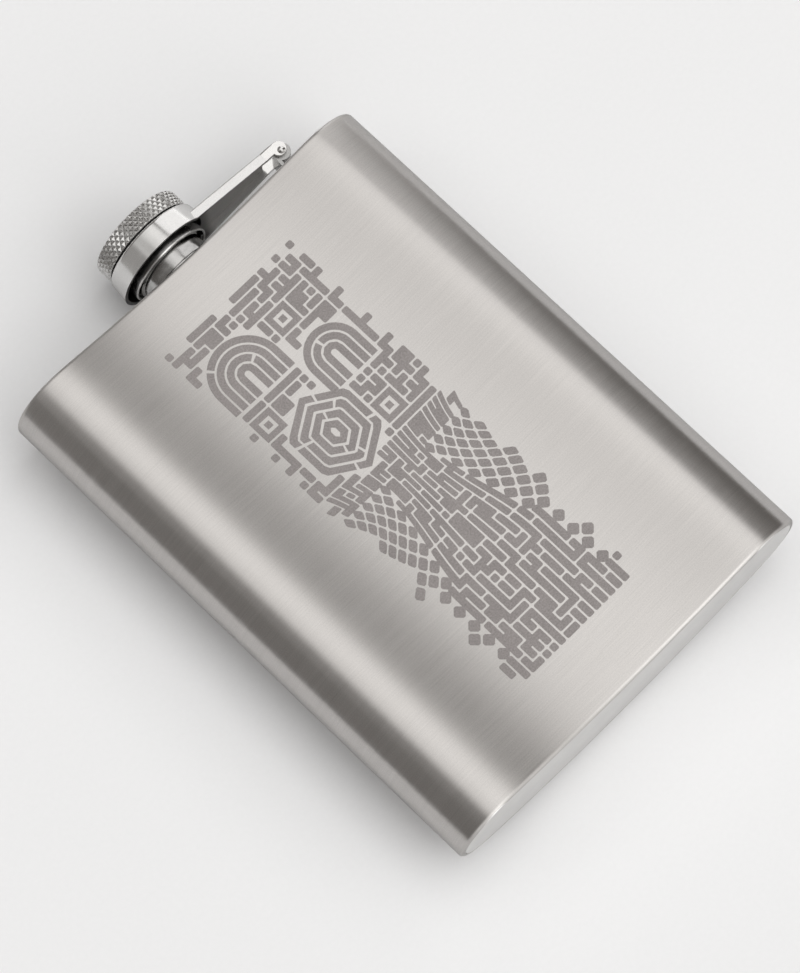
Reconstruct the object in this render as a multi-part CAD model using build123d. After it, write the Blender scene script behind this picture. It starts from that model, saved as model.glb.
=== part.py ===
from build123d import *
import os
from math import cos, degrees, hypot, pi, radians, sin, sqrt, tan

# A steel hip flask of kidney section, with a screw cap held captive on a hinged arm.
# Origin: the middle of the base, under the neck. +X right, +Z up, and the hollow face looks towards -Y.
# All sizes are in millimetres.

# Body
BODY_WIDTH = 95.0
BODY_HEIGHT = 124.5
BODY_DEPTH = 22.0  # face to face through the middle
HOLLOW_RADIUS = 160.0  # curve of the hollow front face
BULGE_RADIUS = 142.0  # curve of the bulging back face
SHEET = 0.6
EDGE_RADIUS = 0.9  # soft edge where the shell turns in at both ends
LIP_WIDTH = 1.2  # how far the shell turns in around each end plate
PLATE = 0.8
SEAM = 0.05  # gap between a lip and its end plate
SEAM_CHAMFER = 0.15

# Neck
NECK_RADIUS = 8.0
NECK_BORE = 6.9
NECK_TOP = 8.25  # above the top plate
NECK_TAIL = 1.6  # below the top plate's outer face
NECK_FLANGE_RADIUS = 9.0
NECK_FLANGE = 0.9
NECK_BEVEL = 0.3
THREAD_PITCH = 2.0
THREAD_WIDTH = 1.0  # of a ridge at its root
THREAD_CREST_WIDTH = 0.4
THREAD_BURY = 0.15  # how far a ridge reaches into its wall
NECK_THREAD_DEPTH = 0.5
NECK_THREAD_FROM = 3.4
NECK_THREAD_TURNS = 1.75

# Hinge
PIN_X = 32.6  # from the neck's axis
PIN_Z = 5.1  # above the top plate
PIN_RADIUS = 0.6
PIN_HEAD_RADIUS = 0.85
PIN_HEAD = 0.4
RUNNING_GAP = 0.05  # between pieces that turn on each other
BARREL_RADIUS = 1.95
BARREL_HALF = 3.2
BRACKET_SHEET = 0.8
BRACKET_FOOT = 6.6  # length of the foot welded to the top plate
BRACKET_SPLAY = 0.2  # how far the tongue's root stands outside the barrel

# Arm: one stamping, an inverted cup with a tapering channel that ends in two ears
ARM_SHEET = 0.8
RIM_Z = 5.5  # lower edge of the cup and of the channel, above the top plate
RIM_RADIUS = 12.0
CUP_TOP_RADIUS = 11.35
CUP_TOP_Z = 10.55
CUP_EDGE_RADIUS = 0.7
CHANNEL_TOP_Z = 7.7
CHANNEL_START_X = 8.0
CHANNEL_START_HALF = 8.0
CHANNEL_END_X = 28.7
CHANNEL_END_HALF = 4.1
CHANNEL_EDGE_RADIUS = 0.5
EAR_RADIUS = 1.6
EAR_X = 32.45  # centre of the ears' rounded ends
EAR_Z = 5.75  # the same, above the top plate

# Cap, on the arm's cup
HEAD_RADIUS = 11.1
HEAD_HEIGHT = 4.35
HEAD_CHAMFER = 0.45
HEAD_CROWN = 0.35  # rise of the top face above its rim
KNURL_TEETH = 48  # grooves of each hand around the head
KNURL_DEPTH = 0.42  # of each groove
KNURL_ANGLE = 42.0  # degrees from the head's axis
WASHER = 0.4
WASHER_RADIUS = 9.3
INSERT_RADIUS = 9.75
INSERT_WALL = 0.5
INSERT_RIM_Z = 4.2
INSERT_TOP = 0.6
INSERT_BEVEL = 0.15
INSERT_THREAD_DEPTH = 0.4
INSERT_THREAD_FROM = 4.9
INSERT_THREAD_TURNS = 1.5
RIVET_RADIUS = 2.5
RIVET_FLANGE_RADIUS = 4.5
RIVET_FLANGE = 0.6
RIVET_BEVEL = 0.2
RIVET_DEPTH = 2.6  # into the cap's head
GASKET = 0.8
GASKET_HOLE = 4.7
GASKET_RADIUS = 9.1

TOP = BODY_HEIGHT


def end_radius():
    """Radius of the round side that meets both faces and the full width smoothly."""
    low, high = 1.0, BODY_DEPTH
    for _ in range(60):
        radius = (low + high) / 2
        reach = BODY_WIDTH / 2 - radius
        on_hollow = sqrt((HOLLOW_RADIUS + radius) ** 2 - reach**2) - HOLLOW_RADIUS
        on_bulge = sqrt((BULGE_RADIUS - radius) ** 2 - reach**2) - BULGE_RADIUS
        if on_hollow - BODY_DEPTH / 2 > on_bulge + BODY_DEPTH / 2:
            high = radius
        else:
            low = radius
    return radius


def body_outline(inset=0.0):
    """Kidney outline of the body, moved inwards by inset."""
    radius = end_radius()
    hollow_y = -BODY_DEPTH / 2 - HOLLOW_RADIUS
    bulge_y = BODY_DEPTH / 2 - BULGE_RADIUS
    end_x = BODY_WIDTH / 2 - radius
    end_y = hollow_y + sqrt((HOLLOW_RADIUS + radius) ** 2 - end_x**2)

    def meet(centre_y, distance):
        span = hypot(end_x, end_y - centre_y)
        return distance * end_x / span, centre_y + distance * (end_y - centre_y) / span

    front_x, front_y = meet(hollow_y, HOLLOW_RADIUS + inset)
    back_x, back_y = meet(bulge_y, BULGE_RADIUS - inset)
    side_x = BODY_WIDTH / 2 - inset
    face_y = BODY_DEPTH / 2 - inset
    return make_face(
        [
            ThreePointArc((-front_x, front_y), (0, -face_y), (front_x, front_y)),
            ThreePointArc((front_x, front_y), (side_x, end_y), (back_x, back_y)),
            ThreePointArc((back_x, back_y), (0, face_y), (-back_x, back_y)),
            ThreePointArc((-back_x, back_y), (-side_x, end_y), (-front_x, front_y)),
        ]
    )


def slab(outline, low, high):
    """Straight block of an outline between two heights."""
    return extrude(Pos(0, 0, low) * outline, high - low)


def turned(points):
    """Solid of revolution about the neck's axis, from (radius, height above the top plate) points."""
    profile = make_face(Polyline(*[(r, 0, TOP + z) for r, z in points], close=True))
    return revolve(profile, Axis.Z)


def thread_ridge(root, crest, start, turns):
    """Helical ridge about the neck's axis. It stands out from root to crest, or in if crest is smaller."""
    outward = 1 if crest > root else -1
    buried = root - outward * THREAD_BURY
    helix = Pos(0, 0, TOP + start) * Helix(THREAD_PITCH, THREAD_PITCH * turns, buried)
    half_root = THREAD_WIDTH / 2
    half_crest = THREAD_CREST_WIDTH / 2
    z = TOP + start
    section = make_face(
        Polyline(
            (buried, 0, z - half_root),
            (crest, 0, z - half_crest),
            (crest, 0, z + half_crest),
            (buried, 0, z + half_root),
            close=True,
        )
    )
    return sweep(section, path=helix, is_frenet=True)


def body_shell():
    block = slab(body_outline(), 0, BODY_HEIGHT)
    rims = block.edges().group_by(Axis.Z)
    ends = rims[0] + rims[-1]
    block = fillet(ends, EDGE_RADIUS)
    hollow = slab(body_outline(SHEET), PLATE, BODY_HEIGHT - PLATE)
    mouths = slab(body_outline(LIP_WIDTH), 0, BODY_HEIGHT)
    return block - hollow - mouths


def end_plate(outer_face_z, inner_face_z):
    low, high = sorted((outer_face_z, inner_face_z))
    plate = slab(body_outline(LIP_WIDTH + SEAM), low, high)
    rims = plate.edges().group_by(Axis.Z)
    outer = rims[-1] if outer_face_z > inner_face_z else rims[0]
    return chamfer(outer, SEAM_CHAMFER)


def base_plate():
    return end_plate(0, PLATE)


def top_plate():
    plate = end_plate(TOP, TOP - PLATE)
    return plate - slab(Circle(NECK_RADIUS), TOP - 2 * PLATE, TOP + PLATE)


def neck():
    tube = turned(
        [
            (NECK_BORE, -NECK_TAIL),
            (NECK_RADIUS, -NECK_TAIL),
            (NECK_RADIUS, 0),
            (NECK_FLANGE_RADIUS, 0),
            (NECK_FLANGE_RADIUS, NECK_FLANGE - NECK_BEVEL),
            (NECK_FLANGE_RADIUS - NECK_BEVEL, NECK_FLANGE),
            (NECK_RADIUS, NECK_FLANGE),
            (NECK_RADIUS, NECK_TOP - NECK_BEVEL),
            (NECK_RADIUS - NECK_BEVEL, NECK_TOP),
            (NECK_BORE, NECK_TOP),
        ]
    )
    crest = NECK_RADIUS + NECK_THREAD_DEPTH
    return tube + thread_ridge(NECK_RADIUS, crest, NECK_THREAD_FROM, NECK_THREAD_TURNS)


def side_plate(outline, half_width):
    """Plate of an outline drawn in X and Z, centred on the arm's middle plane."""
    return extrude(Plane.XZ * outline, half_width, both=True)


def hinge_bracket():
    """Stamped foot, upright tongue and rolled barrel."""
    tongue_x = PIN_X - BARREL_RADIUS
    foot_end = tongue_x + BRACKET_SPLAY
    middle = Pos(foot_end - BRACKET_FOOT / 2, TOP + BRACKET_SHEET / 2)
    foot = middle * Rectangle(BRACKET_FOOT, BRACKET_SHEET)
    tongue = make_face(
        Polyline(
            (foot_end - BRACKET_SHEET, TOP),
            (foot_end, TOP),
            (tongue_x + BRACKET_SHEET, TOP + PIN_Z),
            (tongue_x, TOP + PIN_Z),
            close=True,
        )
    )
    barrel = Pos(PIN_X, TOP + PIN_Z) * Circle(BARREL_RADIUS)
    bore = Pos(PIN_X, TOP + PIN_Z) * Circle(PIN_RADIUS + RUNNING_GAP)
    return side_plate(foot + tongue + barrel - bore, BARREL_HALF)


def dome(radius, rise, base_z):
    """Shallow spherical cap on the Z axis, flat below."""
    sphere = (radius**2 + rise**2) / (2 * rise)
    ball = Pos(0, 0, base_z + rise - sphere) * Sphere(sphere)
    return ball & Pos(0, 0, base_z + rise / 2) * Cylinder(radius, rise)


def hinge_pin():
    """Pin along Y with a domed head outside each ear."""
    head = dome(PIN_HEAD_RADIUS, PIN_HEAD, CHANNEL_END_HALF)
    shank = extrude(Circle(PIN_RADIUS), CHANNEL_END_HALF, both=True)
    pin = shank + head + Rot(180, 0, 0) * head
    return Pos(PIN_X, 0, TOP + PIN_Z) * Rot(90, 0, 0) * pin


def channel_outline(inset):
    """Half widths of the channel from inside the cup to beyond the hinge pin."""
    start = CHANNEL_START_HALF - inset
    end = CHANNEL_END_HALF - inset
    beyond = PIN_X + 2 * EAR_RADIUS
    points = [(CHANNEL_START_X, start), (CHANNEL_END_X, end), (beyond, end)]
    mirrored = [(x, -y) for x, y in reversed(points)]
    return make_face(Polyline(*points, *mirrored, close=True))


def arm_side_view():
    """Outline of the channel seen from the side, from the neck's axis to the hinge pin."""
    return make_face(
        Polyline(
            (0, TOP + RIM_Z),
            (EAR_X, TOP + RIM_Z),
            (EAR_X, TOP + EAR_Z + EAR_RADIUS),
            (CHANNEL_END_X, TOP + CHANNEL_TOP_Z),
            (0, TOP + CHANNEL_TOP_Z),
            close=True,
        )
    )


def arm_outside():
    """Cup, channel and ears before they are hollowed."""
    cup = turned([(0, RIM_Z), (RIM_RADIUS, RIM_Z), (CUP_TOP_RADIUS, CUP_TOP_Z), (0, CUP_TOP_Z)])
    cup = fillet(cup.edges().sort_by(Axis.Z)[-1], CUP_EDGE_RADIUS)
    channel = slab(channel_outline(0), TOP + RIM_Z, TOP + CHANNEL_TOP_Z)
    top_edges = channel.edges().group_by(Axis.Z)[-1].filter_by(Axis.Y, reverse=True)
    channel = fillet(top_edges, CHANNEL_EDGE_RADIUS) & side_plate(arm_side_view(), RIM_RADIUS)
    ears = side_plate(Pos(EAR_X, TOP + EAR_Z) * Circle(EAR_RADIUS), CHANNEL_END_HALF)
    return cup + channel + ears


def arm_inside():
    """Everything under the arm's sheet."""
    rim = RIM_RADIUS - ARM_SHEET
    top_z = CUP_TOP_Z - ARM_SHEET
    cup = turned([(0, 0), (rim, 0), (rim, RIM_Z), (CUP_TOP_RADIUS - ARM_SHEET, top_z), (0, top_z)])
    outline = channel_outline(ARM_SHEET)
    channel = slab(outline, TOP, TOP + CHANNEL_TOP_Z - ARM_SHEET)
    open_end = Pos(CHANNEL_END_X + RIM_RADIUS, 0) * Rectangle(2 * RIM_RADIUS, 2 * RIM_RADIUS)
    gap_between_ears = slab(outline & open_end, TOP, TOP + CUP_TOP_Z)
    return cup + channel + gap_between_ears


def arm():
    pin_hole = side_plate(Pos(PIN_X, TOP + PIN_Z) * Circle(PIN_RADIUS), RIM_RADIUS)
    rivet_hole = slab(Circle(RIVET_RADIUS + RUNNING_GAP), TOP, TOP + 2 * CUP_TOP_Z)
    return arm_outside() - arm_inside() - pin_hole - rivet_hole


def washer_z():
    return CUP_TOP_Z + RUNNING_GAP


def head_z():
    return washer_z() + WASHER


def insert_top_z():
    return CUP_TOP_Z - ARM_SHEET - RUNNING_GAP


def friction_washer():
    low, high = washer_z(), head_z()
    inner = RIVET_RADIUS + RUNNING_GAP
    return turned([(inner, low), (WASHER_RADIUS, low), (WASHER_RADIUS, high), (inner, high)])


def knurl_block(low, height):
    """Disc with left-hand and right-hand grooves crossing in diamonds."""
    root = HEAD_RADIUS - KNURL_DEPTH
    step = pi / KNURL_TEETH
    points = []
    for tooth in range(KNURL_TEETH):
        crest_angle = 2 * tooth * step
        groove_angle = crest_angle + step
        points.append((HEAD_RADIUS * cos(crest_angle), HEAD_RADIUS * sin(crest_angle)))
        points.append((root * cos(groove_angle), root * sin(groove_angle)))
    toothed = make_face(Polyline(*points, close=True)).face()
    twist = degrees(height * tan(radians(KNURL_ANGLE)) / HEAD_RADIUS)
    hands = [
        Solid.extrude_linear_with_rotation(toothed, (0, 0, 0), (0, 0, height), turn)
        for turn in (twist, -twist)
    ]
    return Pos(0, 0, TOP + low) * (hands[0] & hands[1])


def cap_head():
    low = head_z()
    rim = low + HEAD_HEIGHT - HEAD_CROWN
    edge = HEAD_RADIUS - HEAD_CHAMFER
    band = turned(
        [
            (0, low),
            (edge, low),
            (HEAD_RADIUS, low + HEAD_CHAMFER),
            (HEAD_RADIUS, rim - HEAD_CHAMFER),
            (edge, rim),
            (0, rim),
        ]
    )
    band = band & knurl_block(low, rim - low)
    bore = slab(Circle(RIVET_RADIUS), TOP + low, TOP + low + RIVET_DEPTH)
    return band + dome(edge - KNURL_DEPTH, HEAD_CROWN, TOP + rim) - bore


def threaded_insert():
    """Thin cup inside the arm's cup, with the cap's internal thread."""
    high = insert_top_z()
    bore = INSERT_RADIUS - INSERT_WALL
    cup = turned(
        [
            (RIVET_RADIUS, high),
            (INSERT_RADIUS, high),
            (INSERT_RADIUS, INSERT_RIM_Z + INSERT_BEVEL),
            (INSERT_RADIUS - INSERT_BEVEL, INSERT_RIM_Z),
            (bore + INSERT_BEVEL, INSERT_RIM_Z),
            (bore, INSERT_RIM_Z + INSERT_BEVEL),
            (bore, high - INSERT_TOP),
            (RIVET_RADIUS, high - INSERT_TOP),
        ]
    )
    crest = bore - INSERT_THREAD_DEPTH
    return cup + thread_ridge(bore, crest, INSERT_THREAD_FROM, INSERT_THREAD_TURNS)


def cap_rivet():
    """Rivet that ties the threaded insert to the head through the arm."""
    seat = insert_top_z() - INSERT_TOP
    low = seat - RIVET_FLANGE
    high = head_z() + RIVET_DEPTH
    return turned(
        [
            (0, low),
            (RIVET_FLANGE_RADIUS - RIVET_BEVEL, low),
            (RIVET_FLANGE_RADIUS, low + RIVET_BEVEL),
            (RIVET_FLANGE_RADIUS, seat),
            (RIVET_RADIUS, seat),
            (RIVET_RADIUS, high),
            (0, high),
        ]
    )


def cap_gasket():
    high = insert_top_z() - INSERT_TOP
    low = high - GASKET
    section = [(GASKET_HOLE, low), (GASKET_RADIUS, low), (GASKET_RADIUS, high), (GASKET_HOLE, high)]
    return turned(section)


PIECES = [
    body_shell,
    base_plate,
    top_plate,
    neck,
    hinge_bracket,
    hinge_pin,
    arm,
    friction_washer,
    cap_head,
    threaded_insert,
    cap_rivet,
    cap_gasket,
]

os.makedirs("parts", exist_ok=True)
for make in PIECES:
    piece = make()
    piece.label = make.__name__
    export_step(piece, f"parts/{make.__name__}.step")
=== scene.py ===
import math
import random
from bisect import bisect_left

import bmesh
import bpy
from mathutils import Matrix, Vector


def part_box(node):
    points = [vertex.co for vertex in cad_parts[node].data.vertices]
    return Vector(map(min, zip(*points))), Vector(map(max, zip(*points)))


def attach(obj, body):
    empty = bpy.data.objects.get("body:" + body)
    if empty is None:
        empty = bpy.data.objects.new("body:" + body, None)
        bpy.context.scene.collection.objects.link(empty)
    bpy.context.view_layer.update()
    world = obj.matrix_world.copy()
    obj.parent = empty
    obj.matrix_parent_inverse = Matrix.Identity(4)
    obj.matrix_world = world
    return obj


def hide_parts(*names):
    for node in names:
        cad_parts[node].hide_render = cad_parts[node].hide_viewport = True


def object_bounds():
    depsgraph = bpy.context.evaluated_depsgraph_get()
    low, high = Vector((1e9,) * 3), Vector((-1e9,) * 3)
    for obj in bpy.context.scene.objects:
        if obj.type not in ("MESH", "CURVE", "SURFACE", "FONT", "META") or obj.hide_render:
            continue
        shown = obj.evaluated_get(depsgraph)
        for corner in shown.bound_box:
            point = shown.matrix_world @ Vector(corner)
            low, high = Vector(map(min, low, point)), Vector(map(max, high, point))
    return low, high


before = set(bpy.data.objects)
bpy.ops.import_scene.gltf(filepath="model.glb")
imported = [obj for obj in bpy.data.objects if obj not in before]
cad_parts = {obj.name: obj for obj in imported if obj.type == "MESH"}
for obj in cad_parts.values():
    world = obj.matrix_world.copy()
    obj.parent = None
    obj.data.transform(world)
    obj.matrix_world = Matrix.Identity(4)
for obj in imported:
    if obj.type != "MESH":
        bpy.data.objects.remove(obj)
CAD_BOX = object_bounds()

MM = 0.001
SHELL_LOW, SHELL_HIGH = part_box("body_shell")
HEIGHT = SHELL_HIGH.z - SHELL_LOW.z
WIDTH = SHELL_HIGH.x - SHELL_LOW.x
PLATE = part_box("base_plate")[1].z

# The kidney outline, as in the CAD model
DEPTH = 22.0 * MM
HOLLOW_RADIUS = 160.0 * MM
BULGE_RADIUS = 142.0 * MM
END_RADIUS = 10.375 * MM
OUTLINE_STEP = 0.5 * MM
OUTLINE_BLEND = 5.0 * MM  # length over which the faces run into the round sides
EDGE_RADIUS = 0.9 * MM
LIP_WIDTH = 1.2 * MM  # the turned-in rim seen around the end plates
LIP_EDGE = 0.12 * MM
SHEET = 0.6 * MM
WALL_STEPS = 12


# ---------------------------------------------------------------- materials


class Shader:
    """Node tree of one material or world, built by calls that return an output socket."""

    def __init__(self, owner):
        owner.use_nodes = True
        self.owner = owner
        self.tree = owner.node_tree
        self.tree.nodes.clear()

    def put(self, value, socket):
        if isinstance(value, bpy.types.NodeSocket):
            self.tree.links.new(value, socket)
        elif value is not None:
            socket.default_value = value

    def add(self, kind, inputs=None, out=0, **settings):
        node = self.tree.nodes.new(kind)
        for key, value in settings.items():
            setattr(node, key, value)
        for key, value in (inputs or {}).items():
            self.put(value, node.inputs[key])
        return node.outputs[out]

    def math(self, operation, *values):
        node = self.tree.nodes.new("ShaderNodeMath")
        node.operation = operation
        for value, socket in zip(values, node.inputs):
            self.put(value, socket)
        return node.outputs[0]

    def vector(self, operation, *values, out=0):
        node = self.tree.nodes.new("ShaderNodeVectorMath")
        node.operation = operation
        for value, socket in zip(values, node.inputs):
            self.put(value, socket)
        return node.outputs[out]

    def scaled(self, value, low, high, from_low=0.0, from_high=1.0):
        """Value mapped from one range to another, without going past either end."""
        return self.add(
            "ShaderNodeMapRange",
            {0: value, 1: from_low, 2: from_high, 3: low, 4: high},
        )

    def step(self, value, low, high):
        """Soft step: 0 at low, 1 at high."""
        return self.add(
            "ShaderNodeMapRange",
            {0: value, 1: low, 2: high, 3: 0.0, 4: 1.0},
            interpolation_type="SMOOTHSTEP",
        )

    def noise(self, vector, scale, detail=2.0, roughness=0.5):
        return self.add(
            "ShaderNodeTexNoise",
            {"Vector": vector, "Scale": scale, "Detail": detail, "Roughness": roughness},
        )

    def stretch(self, vector, scale):
        return self.vector("MULTIPLY", vector, scale)

    def position(self):
        """Place on the piece, in the shared frame at rest, so that a pattern moves with its piece."""
        return self.add("ShaderNodeTexCoord", out=3)

    def facing(self):
        """Normal of the piece, in the shared frame at rest."""
        return self.add("ShaderNodeTexCoord", out=1)

    def along(self, axis, vector):
        """One coordinate of a vector, 0 for X, 1 for Y and 2 for Z."""
        return self.add("ShaderNodeSeparateXYZ", {"Vector": vector}, out=axis)

    def camera_lift(self):
        """Positive when the camera looks up, negative when it looks down."""
        up = self.add(
            "ShaderNodeVectorTransform",
            {"Vector": (0.0, 0.0, 1.0)},
            vector_type="VECTOR",
            convert_from="CAMERA",
            convert_to="WORLD",
        )
        return self.along(Z, up)

    def switch(self, factor, off, on):
        """Off where the factor is 0, on where it is 1."""
        rest = self.math("SUBTRACT", 1.0, factor)
        return self.math("ADD", self.math("MULTIPLY", off, rest), self.math("MULTIPLY", on, factor))

    def rounded(self, radius):
        """Normal with the edges softened by a radius."""
        return self.add("ShaderNodeBevel", {"Radius": radius}, samples=6)

    def bump(self, strength, distance, height, normal=None):
        return self.add(
            "ShaderNodeBump",
            {"Strength": strength, "Distance": distance, "Height": height, "Normal": normal},
        )

    def grey(self, value, tint=(1.0, 1.0, 1.0)):
        """Colour of a brightness, with a tint."""
        node = self.tree.nodes.new("ShaderNodeVectorMath")
        node.operation = "SCALE"
        node.inputs[0].default_value = tint
        self.put(value, node.inputs["Scale"])
        return node.outputs[0]

    def finish(self, surface, kind="ShaderNodeOutputMaterial"):
        output = self.tree.nodes.new(kind)
        self.tree.links.new(surface, output.inputs["Surface"])
        return self.owner


def new_shader(name):
    return Shader(bpy.data.materials.new(name))


X, Y, Z = 0, 1, 2

CUP_REACH = 12.0 * MM  # from the neck's axis to the outside of the arm's cup
CHANNEL_END = 28.9 * MM  # from the neck's axis to the end of the arm's web
ARM_HEART = HEIGHT + 5.0 * MM  # height of the hollow under the arm
FOOT_RIM = HEIGHT + 2.6 * MM  # top of the bracket's foot
INSERT_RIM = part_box("threaded_insert")[0].z + 0.3 * MM  # top of the insert's rolled rim
BRUSHED_TINT = (1.0, 0.966, 0.938)
POLISHED_TINT = (1.0, 0.99, 0.975)
MARK_TINT = (1.0, 0.925, 0.905)
PAPER_TINT = (0.992, 0.994, 1.0)
ROOM_GLOW = (0.118, 0.11, 0.103)  # what the metal mirrors where there is no panel
BACKDROP = (0.86, 0.86, 0.86, 1.0)
GRIT_RELIEF = 0.02 * MM
WIPE_RELIEF = 0.01 * MM
CORE = (0.35, 0.65)  # the part of a noise's range that is mapped onto a look's range
SPAN = (0.3, 0.7)  # the same, for a gentler contrast


def brushed_steel(name, reflect=0.63, rough=0.33, stretch=0.88):
    """Satin steel brushed around the body. The surface map is in metres, first around and then up."""
    s = new_shader(name)
    uv = s.add("ShaderNodeUVMap", uv_map="surface")
    fine = s.noise(s.stretch(uv, (110.0, 9000.0, 0.0)), 1.0, 3.0, 0.6)
    medium = s.noise(s.stretch(uv, (45.0, 2600.0, 0.0)), 1.0, 2.0, 0.6)
    broad = s.noise(s.stretch(uv, (14.0, 420.0, 0.0)), 1.0, 2.0, 0.5)
    sand = s.noise(s.stretch(uv, (3200.0, 5200.0, 0.0)), 1.0, 2.0, 0.7)
    grain = s.math("ADD", s.math("MULTIPLY", fine, 0.6), s.math("MULTIPLY", medium, 0.3))
    grain = s.math("ADD", grain, s.math("MULTIPLY", broad, 0.1))
    shade = s.scaled(grain, reflect - 0.05, reflect + 0.05, *CORE)
    shade = s.math("ADD", shade, s.scaled(sand, -0.05, 0.05, *SPAN))
    roughness = s.scaled(grain, rough - 0.04, rough + 0.05, *CORE)
    height = s.math("ADD", s.math("MULTIPLY", grain, 0.7), s.math("MULTIPLY", sand, 1.1))
    metal = s.add(
        "ShaderNodeBsdfPrincipled",
        {
            "Base Color": s.grey(shade, BRUSHED_TINT),
            "Metallic": 1.0,
            "Roughness": roughness,
            "Anisotropic": stretch,
            "Specular Tint": (0.72, 0.72, 0.72, 1.0),
            "Tangent": s.add("ShaderNodeCombineXYZ", {"Z": 1.0}),
            "Normal": s.bump(0.16, GRIT_RELIEF, height),
        },
    )
    return s.finish(metal)


def plain_metal(s, shade, roughness, normal, tint=POLISHED_TINT, metallic=1.0):
    """Finished metal of a shader, from its brightness, roughness and normal."""
    inputs = {
        "Base Color": s.grey(shade, tint),
        "Metallic": metallic,
        "Roughness": roughness,
        "Normal": normal,
    }
    return s.finish(s.add("ShaderNodeBsdfPrincipled", inputs))


def polish_noises(s, place):
    """Slow bloom and fine wipe marks of polished metal."""
    bloom = s.noise(s.stretch(place, (180.0, 180.0, 260.0)), 1.0, 3.0, 0.55)
    marks = s.noise(s.stretch(place, (3500.0, 3500.0, 5200.0)), 1.0, 2.0, 0.6)
    return bloom, marks


def polished_steel(name, edge, reflect=0.78, rough=0.1, waves=0.0, wear=0.06, painted_shade_above=None):
    """Polished steel with faint wipe marks, a slightly worn bloom and softened edges, and optionally
    painted shade above a given height.
    """
    s = new_shader(name)
    place = s.position()
    bloom, marks = polish_noises(s, place)
    roughness = s.math(
        "ADD",
        s.scaled(bloom, rough - 0.03, rough + 0.06, *CORE),
        s.scaled(marks, -0.02, 0.03, *CORE),
    )
    shade = s.math(
        "ADD",
        s.scaled(bloom, reflect - 0.03, reflect + 0.02, *CORE),
        s.scaled(marks, -0.02, 0.02, *CORE),
    )
    normal = s.rounded(edge)
    # Painted shade: above this height the darker reflect stands in for shade; below it the steel is
    # lifted to a plain 0.85.
    if painted_shade_above:
        low = s.math("LESS_THAN", s.along(Z, place), painted_shade_above)
        shade = s.math("ADD", shade, s.math("MULTIPLY", low, 0.85 - reflect))
    if waves:
        swell = s.noise(s.stretch(place, (260.0, 260.0, 420.0)), 1.0, 1.0, 0.5)
        normal = s.bump(waves, 0.4 * MM, swell, normal)
    return plain_metal(s, shade, roughness, s.bump(wear, WIPE_RELIEF, marks, normal))


def stamped_steel(name, lean):
    """Polished outside; inside a duller finish, darkened further by painted shade, deepest in the cup
    and lighter along the web. Lean tips the outer sides up, as a stamping's draft does.
    """
    s = new_shader(name)
    place = s.position()
    from_heart = s.vector("ADD", place, (0.0, 0.0, -ARM_HEART))
    across = s.vector("MULTIPLY", from_heart, (0.2, 1.0, 1.0))
    inside = s.math("LESS_THAN", s.vector("DOT_PRODUCT", across, s.facing(), out=1), 0.0)
    along = s.along(X, place)
    inside = s.math("MULTIPLY", inside, s.math("LESS_THAN", along, CHANNEL_END))
    # Painted shade under the arm is lighter along the web than in the cup.
    channel_less_painted_shade = s.step(along, CUP_REACH - 1.0 * MM, CUP_REACH + 2.0 * MM)
    bloom, marks = polish_noises(s, place)
    shade = s.math(
        "ADD",
        s.scaled(bloom, 0.76, 0.82, *CORE),
        s.scaled(marks, -0.02, 0.02, *CORE),
    )
    # Inside: rougher and duller, with painted shade darkening it well below the polished outside.
    dull_and_painted_shade = s.math(
        "ADD",
        s.scaled(bloom, 0.2, 0.26, *CORE),
        s.scaled(marks, -0.03, 0.03, *CORE),
    )
    dull_and_painted_shade = s.math("ADD", dull_and_painted_shade, s.math("MULTIPLY", channel_less_painted_shade, 0.36))
    shade = s.switch(inside, shade, dull_and_painted_shade)
    roughness = s.scaled(bloom, 0.13, 0.21, *CORE)
    roughness = s.math("ADD", roughness, s.math("MULTIPLY", inside, 0.3))
    tipped = s.vector("ADD", s.rounded(0.12 * MM), (0.0, 0.0, lean))
    tipped = s.vector("NORMALIZE", tipped)
    return plain_metal(s, shade, roughness, s.bump(0.06, WIPE_RELIEF, marks, tipped))


def knurled_steel(name):
    """Machined steel, turned on top, with painted shade in the knurl's grooves that leaves its points
    bright.
    """
    s = new_shader(name)
    place = s.position()
    grit = s.noise(s.stretch(place, (2600.0, 2600.0, 2600.0)), 1.0, 3.0, 0.6)
    radius = s.vector("LENGTH", s.vector("MULTIPLY", place, (1.0, 1.0, 0.0)), out=1)
    turned_place = s.add("ShaderNodeCombineXYZ", {"X": s.math("MULTIPLY", radius, 9000.0)})
    rings = s.noise(turned_place, 1.0, 3.0, 0.6)
    top = s.step(s.along(Z, s.facing()), 0.9, 0.97)
    # Painted shade: an occlusion test darkens the knurl's grooves and leaves its points bright.
    painted_shade_cover = s.add("ShaderNodeAmbientOcclusion", {"Distance": 0.6 * MM}, out=1, samples=6)
    painted_shade_cover = s.step(painted_shade_cover, 0.45, 0.95)
    shade = s.math("ADD", s.scaled(painted_shade_cover, 0.38, 0.76), s.scaled(grit, -0.06, 0.06, *SPAN))
    # Painted shade: the flat top is held darker than the knurl's points, against light from above; its
    # rings are the turned finish.
    shade = s.switch(top, shade, s.scaled(rings, 0.56, 0.66, *SPAN))
    relief = s.switch(top, grit, rings)
    roughness = s.scaled(grit, 0.2, 0.34, *CORE)
    normal = s.bump(0.15, GRIT_RELIEF, relief, s.rounded(0.06 * MM))
    return plain_metal(s, shade, roughness, normal)


def etched_steel(name):
    """Dull grey-brown of a laser mark, grainy."""
    s = new_shader(name)
    uv = s.add("ShaderNodeUVMap", uv_map="surface")
    grain = s.noise(s.stretch(uv, (2600.0, 2600.0, 0.0)), 1.0, 3.0, 0.7)
    cloud = s.noise(s.stretch(uv, (160.0, 160.0, 0.0)), 1.0, 2.0, 0.5)
    shade = s.math("ADD", s.scaled(grain, 0.28, 0.41, *SPAN), s.scaled(cloud, -0.02, 0.02, *SPAN))
    return plain_metal(s, shade, 0.55, s.bump(0.4, GRIT_RELIEF, grain), MARK_TINT, 0.7)


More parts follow.
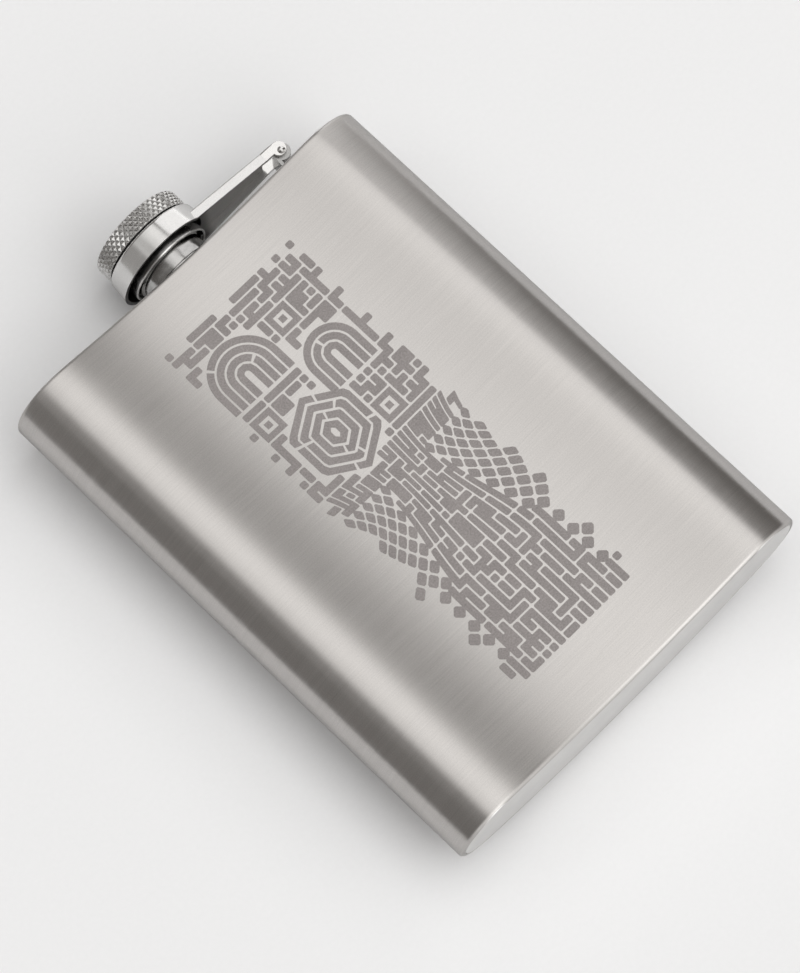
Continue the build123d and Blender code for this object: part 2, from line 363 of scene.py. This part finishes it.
def soft_plastic(name, colour, rough, grain_size):
    """Moulded rubber or nylon with a fine matte grain and slightly uneven tone."""
    s = new_shader(name)
    place = s.position()
    grain = s.noise(place, 1.0 / grain_size, 3.0, 0.6)
    cloud = s.noise(place, 300.0, 2.0, 0.5)
    tone = s.math("ADD", s.scaled(grain, 0.9, 1.1, *SPAN), s.scaled(cloud, -0.05, 0.05, *SPAN))
    inputs = {
        "Base Color": s.grey(tone, colour),
        "Roughness": s.scaled(grain, rough - 0.08, rough + 0.08, *SPAN),
        "Normal": s.bump(0.2, grain_size / 4, grain),
    }
    return s.finish(s.add("ShaderNodeBsdfPrincipled", inputs))


# ------------------------------------------------------------------- meshes


def make_piece(name, vertices, faces, body, material, uvs):
    """Mesh piece that rides on a body. Uvs holds one (u, v) in metres per face corner."""
    mesh = bpy.data.meshes.new(name)
    mesh.from_pydata([tuple(v) for v in vertices], [], faces)
    layer = mesh.uv_layers.new(name="surface")
    for loop, uv in enumerate(uvs):
        layer.data[loop].uv = uv
    mesh.validate()
    mesh.shade_smooth()
    piece = bpy.data.objects.new(name, mesh)
    bpy.context.scene.collection.objects.link(piece)
    mesh.materials.append(material)
    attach(piece, body)
    return piece


def loft(rings):
    """Faces between rings of equal count, and from the last ring back to the first."""
    count = len(rings[0])
    faces = []
    for j in range(len(rings)):
        above = (j + 1) % len(rings)
        for i in range(count):
            k = (i + 1) % count
            faces.append((j * count + i, j * count + k, above * count + k, above * count + i))
    return faces


def arc_points(centre, radius, start, end, step):
    """Points along an arc in the XY plane, without its last point."""
    count = max(2, round(abs(end - start) * radius / step))
    points = []
    for i in range(count):
        angle = start + (end - start) * i / count
        x, y = centre[0] + radius * math.cos(angle), centre[1] + radius * math.sin(angle)
        points.append(Vector((x, y)))
    return points


def raw_outline():
    """Kidney outline from the middle of the hollow face, counter-clockwise from above."""
    hollow_y = -DEPTH / 2 - HOLLOW_RADIUS
    bulge_y = DEPTH / 2 - BULGE_RADIUS
    end_x = WIDTH / 2 - END_RADIUS
    end_y = hollow_y + math.sqrt((HOLLOW_RADIUS + END_RADIUS) ** 2 - end_x**2)
    hollow_angle = math.atan2(end_y - hollow_y, end_x)
    bulge_angle = math.atan2(end_y - bulge_y, end_x)
    front = arc_points((0, hollow_y), HOLLOW_RADIUS, math.pi / 2, hollow_angle, OUTLINE_STEP)
    side = arc_points((end_x, end_y), END_RADIUS, hollow_angle - math.pi, bulge_angle, OUTLINE_STEP)
    back = arc_points((0, bulge_y), BULGE_RADIUS, bulge_angle, math.pi / 2, OUTLINE_STEP)
    half = front + side + back
    mirrored = [Vector((-p.x, p.y)) for p in reversed(half[1:])]
    return half + [Vector((0, DEPTH / 2))] + mirrored


def soften(points, length):
    """Closed loop with its curvature spread over a length, at the size it had."""
    step = sum((points[i] - points[i - 1]).length for i in range(len(points))) / len(points)
    spread = 0.5  # variance of one pass, in steps
    for _ in range(round((length / step) ** 2 / spread)):
        points = [
            points[i] * 0.5 + (points[i - 1] + points[(i + 1) % len(points)]) * 0.25
            for i in range(len(points))
        ]
    wide = WIDTH / 2 / max(p.x for p in points)
    middle = points[0].y
    deep = DEPTH / (max(p.y for p in points if abs(p.x) < OUTLINE_STEP) - middle)
    return [Vector((p.x * wide, (p.y - middle) * deep - DEPTH / 2)) for p in points]


def outward(points):
    """Outward sides of a closed counter-clockwise loop."""
    sides = []
    for i in range(len(points)):
        along = points[(i + 1) % len(points)] - points[i - 1]
        sides.append(Vector((along.y, -along.x)).normalized())
    return sides


OUTLINE = soften(raw_outline(), OUTLINE_BLEND)
OUTWARD = outward(OUTLINE)
AROUND = [0.0]
for here, there in zip(OUTLINE, OUTLINE[1:] + OUTLINE[:1]):
    AROUND.append(AROUND[-1] + (there - here).length)


def ring(inset, z):
    """The outline moved inwards by inset, at a height."""
    return [Vector((p.x - n.x * inset, p.y - n.y * inset, z)) for p, n in zip(OUTLINE, OUTWARD)]


def round_profile(inset_from, z_from, inset_to, z_to, steps, over):
    """Quarter-round from one (inset, z) to another. Over tells which coordinate moves first."""
    profile = []
    for i in range(steps + 1):
        angle = math.pi / 2 * i / steps
        early, late = math.sin(angle), 1 - math.cos(angle)
        a, b = (early, late) if over == "z" else (late, early)
        profile.append((inset_from + (inset_to - inset_from) * b, z_from + (z_to - z_from) * a))
    return profile


def shell_profile():
    """Outside of the shell as (inset, z), from the seam at the base up to the seam at the top."""
    middle = HEIGHT / 2
    rise = middle - EDGE_RADIUS
    upper = [(LIP_WIDTH, middle - PLATE)]
    upper += round_profile(LIP_WIDTH, middle - LIP_EDGE, LIP_WIDTH - LIP_EDGE, middle, 3, "z")
    upper += round_profile(EDGE_RADIUS, middle, 0.0, rise, 8, "x")
    upper += [(0.0, rise * (1 - i / WALL_STEPS)) for i in range(1, WALL_STEPS + 1)]
    lower = [(inset, -z) for inset, z in upper[:-1]]
    return [(inset, z + middle) for inset, z in lower + upper[::-1]]


def body_shell(material):
    """Wrapped sheet of the body, hollow inside, with a rim at both ends."""
    profile = shell_profile() + [(SHEET, HEIGHT - PLATE), (SHEET, PLATE)]
    rings = [ring(inset, z) for inset, z in profile]
    vertices = [v for r in rings for v in r]
    faces = loft(rings)
    travel = [0.0]
    for here, there in zip(profile, profile[1:] + profile[:1]):
        travel.append(travel[-1] + math.dist(here, there))
    uvs = []
    for j in range(len(rings)):
        for i in range(len(OUTLINE)):
            uvs += [
                (AROUND[i], travel[j]),
                (AROUND[i + 1], travel[j]),
                (AROUND[i + 1], travel[j + 1]),
                (AROUND[i], travel[j + 1]),
            ]
    piece = make_piece("shell_skin", vertices, faces, "flask", material, uvs)
    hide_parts("body_shell")
    return piece


# ---------------------------------------------------------------- ornament

MARK_LIFT = 0.012 * MM
FRONT = [(p.x, p.y) for p in OUTLINE if p.y < -DEPTH / 4 and abs(p.x) < WIDTH / 4]
FRONT.sort()
FRONT_X = [x for x, _ in FRONT]


def face_y(x):
    """Y of the hollow face at a place across it."""
    i = min(max(bisect_left(FRONT_X, x), 1), len(FRONT) - 1)
    (x0, y0), (x1, y1) = FRONT[i - 1], FRONT[i]
    return y0 + (y1 - y0) * (x - x0) / (x1 - x0)


class Ornament:
    """Flat strokes of a labyrinth, as polygons in millimetres across and up the hollow face."""

    def __init__(self, seed):
        self.polygons = []
        self.random = random.Random(seed)

    def forest(self, nodes, links, largest):
        """Random joined groups of at most so many nodes. Links holds (node, node, chance)."""
        group = {n: {n} for n in nodes}
        joined = set()
        order = [link for link in links if link[0] in group and link[1] in group]
        self.random.shuffle(order)
        for a, b, chance in order:
            if self.random.random() > chance or group[a] is group[b]:
                continue
            if len(group[a]) + len(group[b]) > largest:
                continue
            merged = group[a] | group[b]
            for n in merged:
                group[n] = merged
            joined.add((a, b))
        return joined

    def blocks(self, nodes, joined, heavy):
        """Closes some bends of the strokes into solid blocks. Returns their lower left nodes."""
        solid = set()
        for i, j in nodes:
            here, right, up, across = (i, j), (i + 1, j), (i, j + 1), (i + 1, j + 1)
            sides = [(here, right), (up, across), (here, up), (right, across)]
            if sum(side in joined for side in sides) == 3 and self.random.random() < heavy:
                joined.update(sides)
                solid.add((i, j))
        return solid

    def weave(self, nodes, place, chance, largest, fill=0.8, heavy=0.0):
        """Stroke squares on a grid, joined at random. Chance(node, node) is how likely that is."""
        nodes = sorted(nodes)
        links = []
        for i, j in nodes:
            for other in ((i, j + 1), (i + 1, j)):
                links.append(((i, j), other, chance((i, j), other)))
        joined = self.forest(nodes, links, largest)
        solid = self.blocks(nodes, joined, heavy)
        h = fill / 2
        for i, j in nodes:
            up = ((i, j), (i, j + 1)) in joined
            down = ((i, j - 1), (i, j)) in joined
            right = ((i, j), (i + 1, j)) in joined
            left = ((i - 1, j), (i, j)) in joined
            self.square(place, i, j, h, up, down, left, right)
            west, east, beyond = i - h, i + h, i + 1 - h
            south, north, further = j - h, j + h, j + 1 - h
            if up:
                corners = [(west, north), (east, north), (east, further), (west, further)]
                self.quad(place, corners)
            if right:
                corners = [(east, south), (beyond, south), (beyond, north), (east, north)]
                self.quad(place, corners)
            if (i, j) in solid:
                corners = [(east, north), (beyond, north), (beyond, further), (east, further)]
                self.quad(place, corners, 1)

    def square(self, place, i, j, h, up, down, left, right):
        """Stroke square whose free corners are rounded."""
        r = h * 0.5
        points = []
        corners = [
            (-1, -1, left or down),
            (1, -1, right or down),
            (1, 1, right or up),
            (-1, 1, left or up),
        ]
        for n, (sx, sy, square) in enumerate(corners):
            if square:
                points.append((i + sx * h, j + sy * h))
                continue
            centre = (i + sx * (h - r), j + sy * (h - r))
            start = math.radians(180 + 90 * n)
            for k in range(4):
                angle = start + math.radians(30) * k
                points.append((centre[0] + r * math.cos(angle), centre[1] + r * math.sin(angle)))
        self.polygons.append([place(u, v) for u, v in points])

    def quad(self, place, corners, parts=3):
        """Link between two squares, in short parts so that it follows a curve."""
        a, b, c, d = corners
        upright = abs(b[0] - a[0]) < abs(d[1] - a[1])
        for k in range(parts):
            f, g = k / parts, (k + 1) / parts
            if upright:
                cut = [(a, d, f), (b, c, f), (b, c, g), (a, d, g)]
            else:
                cut = [(a, b, f), (a, b, g), (d, c, g), (d, c, f)]
            points = [(p[0] + (q[0] - p[0]) * t, p[1] + (q[1] - p[1]) * t) for p, q, t in cut]
            self.polygons.append([place(u, v) for u, v in points])

    def path(self, place, cuts):
        """Long stroke down the middle lane of a mapping, from cut to cut, with square ends."""
        for start, end in cuts:
            parts = max(1, round((end - start) * 2))
            for k in range(parts):
                a = start + (end - start) * k / parts
                b = start + (end - start) * (k + 1) / parts
                corners = [(-LANE_HALF, a), (LANE_HALF, a), (LANE_HALF, b), (-LANE_HALF, b)]
                self.polygons.append([place(u, v) for u, v in corners])

    def framed(self, place, i, j):
        """Square ring, three units across, around a small square."""
        out, bore, core = 1.38, 0.72, 0.36
        for a, b in ((-1, 1), (1, 1), (1, -1), (-1, -1)):
            c, d = b, -a
            ends = [(a, b, out), (c, d, out), (c, d, bore), (a, b, bore)]
            self.polygons.append([place(i + u * size, j + v * size) for u, v, size in ends])
        square = ((-1, -1), (1, -1), (1, 1), (-1, 1))
        self.polygons.append([place(i + a * core, j + b * core) for a, b in square])

    def diamond(self, place, i, j, size):
        """Square set on its corner in a mapping, with its tips cut."""
        tip = 0.16
        points = []
        for dx, dy in ((1, 0), (0, 1), (-1, 0), (0, -1)):
            for side in (-tip, tip):
                u = dx * (1 - tip) - dy * side
                v = dy * (1 - tip) + dx * side
                points.append((i + size * u, j + size * v))
        self.polygons.append([place(u, v) for u, v in points])

    def piece(self, name, body, material):
        vertices, faces, uvs = [], [], []
        for polygon in self.polygons:
            start = len(vertices)
            area = sum(p[0] * q[1] - q[0] * p[1] for p, q in zip(polygon[-1:] + polygon, polygon))
            if area < 0:
                polygon = polygon[::-1]
            for x, z in polygon:
                x, z = x * MM, z * MM
                vertices.append((x, face_y(x) - MARK_LIFT, z))
                uvs.append((x, z))
            faces.append(tuple(range(start, len(vertices))))
        piece = make_piece(name, vertices, faces, body, material, uvs)
        return piece


def smooth(t):
    """Soft step from 0 to 1."""
    t = min(max(t, 0.0), 1.0)
    return t * t * (3 - 2 * t)


# All in millimetres on the hollow face
HALF_MARK = 17.4
MARK_LOW = 12.6
MARK_HIGH = 112.0
FIELD_LOW = 68.0  # end of the square field
WAIST = 60.0
BAND_LOW, BAND_HIGH = 21.0, 62.0  # where the diamonds are
PITCH = 2.0
LANE_HALF = 0.39  # half the width of a long stroke, in pitches
RAGGED_DEPTH = 2.2
RAGGED_CHANCE = 0.42
FRAME_CHANCE = 0.16
FIGURE_GAP = 1.9


def arch_strokes(art, centre_x, centre_z, rings, legs):
    """Nested arches, each a bent lane cut into long strokes."""
    for number in range(rings):
        radius = 1.5 + number * PITCH
        bend = math.pi * radius / PITCH

        def lane(u, v):
            r = radius + u * PITCH
            if v < legs:
                return centre_x - r, centre_z + (v - legs) * PITCH
            if v > legs + bend:
                return centre_x + r, centre_z + (legs + bend - v) * PITCH
            angle = math.pi * (1 - (v - legs) / bend)
            return centre_x + r * math.cos(angle), centre_z + r * math.sin(angle)

        end = 2 * legs + bend
        split = end * art.random.uniform(0.3, 0.7)
        cuts = [(0.0, split - 0.15), (split + 0.15, end)] if number % 2 else [(0.0, end)]
        art.path(lane, cuts)


def hexagon_reach(across, along):
    """How far out a point is, counted so that a hexagon has the same count all around."""
    return max(abs(across), 0.5 * abs(across) + 0.92 * abs(along))


def hexagon_strokes(art, centre_x, centre_z, wide, tall, rings):
    """Nested hexagons, each cut into a few strokes."""
    for number in range(rings):
        a = wide - (rings - 1 - number) * PITCH
        b = tall - (rings - 1 - number) * PITCH * 1.1
        count = 24

        def lane(u, v):
            angle = 2 * math.pi * v / count
            c, s = math.cos(angle), math.sin(angle)
            reach = 1 / hexagon_reach(c, s)
            x, z = (a + u * PITCH) * c, (b + u * PITCH) * s
            return centre_x + x * reach, centre_z + z * reach

        pieces = 1 + number
        turn = round(art.random.uniform(0, count))
        length = count / pieces
        gap = 0.3 * count / (4 + 3.2 * number) / 2 if number else 0.0
        cuts = [(turn + k * length, turn + (k + 1) * length - gap) for k in range(pieces)]
        art.path(lane, cuts)


def labyrinth(material):
    """Generic ornament: blocks, nested arches, a nested hexagon, and an hourglass with diamonds."""
    art = Ornament(seed=23)
    arches = ((-8.2, 98.0, 4, 2.5), (7.2, 89.0, 3, 3.0))
    hexagon_x, hexagon_z, hexagon_wide, hexagon_tall = -4.6, 77.0, 7.4, 8.6

    def clear_of_figures(x, z):
        for centre_x, centre_z, rings, legs in arches:
            top = z - centre_z
            away = math.hypot(x - centre_x, max(top, 0.0))
            if top > -legs * PITCH - 1.2 and away < 1.3 + rings * PITCH:
                return False
        across = abs(x - hexagon_x) / (hexagon_wide + FIGURE_GAP)
        along = abs(z - hexagon_z) / (hexagon_tall + FIGURE_GAP)
        return hexagon_reach(across, along) > 1

    for centre_x, centre_z, rings, legs in arches:
        arch_strokes(art, centre_x, centre_z, rings, legs)
    hexagon_strokes(art, hexagon_x, hexagon_z, hexagon_wide, hexagon_tall, 4)

    columns = 18
    top_row = MARK_HIGH - 0.6

    def field(u, v):
        return (u - (columns - 1) / 2) * PITCH, top_row - v * PITCH

    def flow(u, v):
        """Lanes that pinch together at the waist and fan out below it."""
        z = top_row - v * PITCH
        far = (z - WAIST) / 40.0
        pinch = 0.62 + 0.38 * smooth(abs(far) * 1.6)
        return u * PITCH * pinch, z

    field_rows = range(0, round((MARK_HIGH - FIELD_LOW) / PITCH))
    flow_rows = range(field_rows.stop, int((MARK_HIGH - MARK_LOW) / PITCH))

    def ragged(x, z):
        edge = min(HALF_MARK - abs(x), 1.3 * (MARK_HIGH - z), 1.6 * (z - MARK_LOW))
        return edge < RAGGED_DEPTH and art.random.random() < RAGGED_CHANCE

    blocks = set()
    for j in field_rows:
        for i in range(columns):
            x, z = field(i, j)
            if clear_of_figures(x, z) and not ragged(x, z):
                blocks.add((i, j))
    for i, j in sorted(blocks):
        around = {(i + a, j + b) for a in (-1, 0, 1) for b in (-1, 0, 1)}
        if around <= blocks and art.random.random() < FRAME_CHANCE:
            art.framed(field, i, j)
            blocks -= around

    def block_chance(a, b):
        if a[0] == b[0]:
            return 0.95 if a[0] in (1, 4, columns - 5, columns - 2) else 0.5
        return 0.8

    art.weave(blocks, field, block_chance, 6, heavy=0.5)

    strokes, diamonds = set(), set()
    for j in flow_rows:
        for i in range(-16, 17):
            x, z = flow(i, j)
            if abs(x) > HALF_MARK or not clear_of_figures(x, z) or ragged(x, z):
                continue
            core = 3.5 + 0.1 * (j - flow_rows.start)
            in_band = abs(i) > core + 1 and BAND_LOW < z < BAND_HIGH
            if in_band and (i + j) % 2 == 0:
                diamonds.add((i, j))
            elif not in_band:
                strokes.add((i, j))
    art.weave(strokes, flow, lambda a, b: 0.92 if a[0] == b[0] else 0.3, 8, heavy=0.4)
    for i, j in sorted(diamonds):
        art.diamond(flow, i, j, 0.84)
    return art.piece("labyrinth_mark", "flask", material)


# -------------------------------------------------------------- the pieces

brushed = brushed_steel("brushed_steel_satin")
end_steel = polished_steel("satin_end_steel", reflect=0.84, rough=0.34, edge=0.1 * MM, wear=0.01)
bright = polished_steel("polished_steel_bright", edge=0.12 * MM)
stamped = stamped_steel("stamped_steel", lean=0.08)
# Painted shade: the insert is darkened where it sits inside the collar; only its rim keeps a plain
# brightness.
painted_shade_insert = polished_steel(
    "insert_steel", reflect=0.3, rough=0.22, edge=0.1 * MM, painted_shade_above=INSERT_RIM
)
neck_steel = polished_steel("neck_steel", reflect=0.55, rough=0.16, edge=0.1 * MM, waves=0.35)
# Painted shade: the bracket is darkened above its foot; the foot keeps a plain brightness.
hinge_steel = polished_steel(
    "hinge_steel", reflect=0.4, rough=0.2, edge=0.1 * MM, painted_shade_above=FOOT_RIM
)
knurled = knurled_steel("knurled_steel_head")
mark = etched_steel("laser_mark")
silicone = soft_plastic("silicone_pale", (0.86, 0.86, 0.84), 0.5, 0.1 * MM)
nylon = soft_plastic("nylon_black", (0.045, 0.045, 0.045), 0.5, 0.08 * MM)

body_shell(brushed)
labyrinth(mark)

FINISH = {
    "base_plate": end_steel,
    "top_plate": end_steel,
    "neck": neck_steel,
    "hinge_bracket": hinge_steel,
    "hinge_pin": bright,
    "arm": stamped,
    "friction_washer": nylon,
    "cap_head": knurled,
    "threaded_insert": painted_shade_insert,
    "cap_rivet": bright,
    "cap_gasket": silicone,
}
for node, material in FINISH.items():
    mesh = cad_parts[node].data
    mesh.materials.clear()
    mesh.materials.append(material)

# -------------------------------------------------- floor, light and camera


STAGE_SIZE = 6.0
# Painted shade: the planes seen in the metal are darkened, for the shadow the flask casts on the table
# near it.
PAINTED_SHADE_IN_METAL = 0.22  # how much darker the planes are in reflections


def stage_plane(name, location, normal, size, shown_when_looking_up):
    """Large pale plane, seen only when the camera looks up or only when it looks down."""
    bpy.ops.mesh.primitive_plane_add(size=size, location=location)
    plane = bpy.context.object
    plane.name = name
    plane.rotation_mode = "QUATERNION"
    plane.rotation_quaternion = Vector(normal).to_track_quat("Z", "Y")
    s = new_shader(name + "_paper")
    place = s.position()
    speck = s.noise(place, 900.0, 3.0, 0.7)
    cloud = s.noise(place, 9.0, 2.0, 0.5)
    tone = s.math(
        "ADD",
        s.scaled(speck, 0.835, 0.85, *SPAN),
        s.scaled(cloud, -0.008, 0.008, *SPAN),
    )
    # Painted shade: darker where the metal mirrors the plane.
    painted_shade_in_metal = s.math("MULTIPLY", s.add("ShaderNodeLightPath", out=3), PAINTED_SHADE_IN_METAL)
    tone = s.math("MULTIPLY", tone, s.math("SUBTRACT", 1.0, painted_shade_in_metal))
    inputs = {"Base Color": s.grey(tone, PAPER_TINT), "Roughness": 0.7, "Specular IOR Level": 0.2}
    paper = s.add("ShaderNodeBsdfPrincipled", inputs)
    upward = s.math("GREATER_THAN", s.camera_lift(), 0.0)
    shown = upward if shown_when_looking_up else s.math("SUBTRACT", 1.0, upward)
    clear = s.add("ShaderNodeBsdfTransparent")
    mixed = s.add("ShaderNodeMixShader", {0: shown, 1: clear, 2: paper})
    plane.data.materials.append(s.finish(mixed))


# The photo's table stands behind the flask, which lies on its back there
stage_plane("table_top", (0, CAD_BOX[1].y + 0.2 * MM, 0.06), (0, -1, 0), STAGE_SIZE, True)
stage_plane("studio_floor", (0, 0, -0.1 * MM), (0, 0, 1), STAGE_SIZE, False)


def studio_world():
    """Soft panels around the flask, placed by the angle from its hollow face towards -X."""
    world = bpy.data.worlds.new("studio")
    bpy.context.scene.world = world
    s = Shader(world)
    ray = s.add("ShaderNodeTexCoord")
    x, y, z = (s.along(axis, ray) for axis in (X, Y, Z))
    turn = s.math("ARCTAN2", s.math("MULTIPLY", x, -1.0), s.math("MULTIPLY", y, -1.0))
    lift = s.math("ARCSINE", z)

    def panel(angle, half_width, soft, strength, rise=None):
        """Upright soft panel, in degrees. With a rise of (low, high) it fades in above that height."""
        away = s.math("ABSOLUTE", s.math("SUBTRACT", turn, math.radians(angle)))
        wrapped = s.math("MINIMUM", away, s.math("SUBTRACT", 2 * math.pi, away))
        inside = s.step(wrapped, math.radians(half_width + soft), math.radians(half_width - soft))
        if rise:
            above = s.step(lift, math.radians(rise[0]), math.radians(rise[1]))
            inside = s.math("MULTIPLY", inside, above)
        return s.math("MULTIPLY", inside, strength)

    # The front panel: a sharp edge towards +X, a slow fade towards -X
    sharp = s.step(turn, math.radians(-31.5), math.radians(-22))
    slow = s.step(turn, math.radians(26), math.radians(2))
    panels = [
        s.math("MULTIPLY", s.math("MULTIPLY", sharp, slow), 1.04),
        panel(2, 5, 6, -0.18),
        panel(28, 10, 6, 0.5, rise=(18, 26)),
        panel(66, 34, 10, 0.24, rise=(16, 26)),
        panel(180, 68, 14, 0.58),
        s.step(z, -0.45, -0.75),
    ]
    glow = panels[0]
    for each in panels[1:]:
        glow = s.math("ADD", glow, each)
    dim = s.math("SUBTRACT", 1.0, s.math("MULTIPLY", s.step(z, 0.55, 0.85), 0.85))
    glow = s.math("MULTIPLY", glow, dim)
    light = s.vector("ADD", s.grey(glow, (1.0, 0.998, 0.99)), ROOM_GLOW)
    # Pictures taken from above get more light, since the table isn't there to give it
    downward = s.math("LESS_THAN", s.camera_lift(), 0.0)
    overhead = s.math("ADD", 0.22, s.math("MULTIPLY", s.step(z, 0.1, 0.9), 0.32))
    light = s.vector("ADD", light, s.grey(s.math("MULTIPLY", overhead, downward), (1.0, 1.0, 1.0)))
    camera_ray = s.add("ShaderNodeLightPath")
    sky = s.add("ShaderNodeBackground", {"Color": light, "Strength": 1.0})
    plain = s.add("ShaderNodeBackground", {"Color": BACKDROP, "Strength": 1.0})
    shown = s.add("ShaderNodeMixShader", {0: camera_ray, 1: sky, 2: plain})
    s.finish(shown, "ShaderNodeOutputWorld")


def soft_light(name, location, target, size, radiance, mirrored):
    """Soft light, which the metal mirrors and nothing else receives, or the other way round."""
    data = bpy.data.lights.new(name, "AREA")
    data.shape = "RECTANGLE"
    data.size, data.size_y = size
    data.energy = radiance * math.pi * size[0] * size[1]
    light = bpy.data.objects.new(name, data)
    bpy.context.scene.collection.objects.link(light)
    light.location = location
    light.rotation_mode = "QUATERNION"
    light.rotation_quaternion = (Vector(target) - Vector(location)).to_track_quat("-Z", "Y")
    light.visible_camera = False
    light.visible_glossy = mirrored
    light.visible_diffuse = not mirrored


studio_world()
MIDDLE = Vector((0, 0, HEIGHT / 2))
soft_light("key_light", (0.8, -1.8, -0.48), MIDDLE, (2.2, 2.2), 1.38, False)
soft_light("fill_light", (-0.7, -1.6, 0.6), MIDDLE, (1.5, 1.5), 0.68, False)
soft_light("side_card", (0.3, -0.19, 0.41), (0.0, -0.19, 0.41), (0.58, 0.42), 0.95, True)


def photo_camera():
    """Long lens over the hollow face, turned so that the flask lies across the frame."""
    distance = 0.81
    aim = MIDDLE + Vector((-1.7, -2.7, -0.5)) * MM
    azimuth, elevation, roll = math.radians(13.31), math.radians(11.93), math.radians(-46.79)
    ahead = Vector((math.sin(azimuth), math.cos(azimuth), 0.0))
    look = ahead * math.cos(elevation) + Vector((0, 0, math.sin(elevation)))
    level = look.cross(Vector((0, 0, 1))).normalized()
    up = level.cross(look)
    right = level * math.cos(roll) + up * math.sin(roll)
    data = bpy.data.cameras.new("photo_camera")
    data.lens = 149.8
    data.sensor_width = 36.0
    data.clip_start = 0.01
    data.clip_end = 20.0
    camera = bpy.data.objects.new("photo_camera", data)
    axes = Matrix((right, right.cross(look), look * -1)).transposed()
    camera.matrix_world = Matrix.Translation(aim - look * distance) @ axes.to_4x4()
    bpy.context.scene.collection.objects.link(camera)
    bpy.context.scene.camera = camera


photo_camera()
bpy.context.scene.view_settings.view_transform = "Standard"
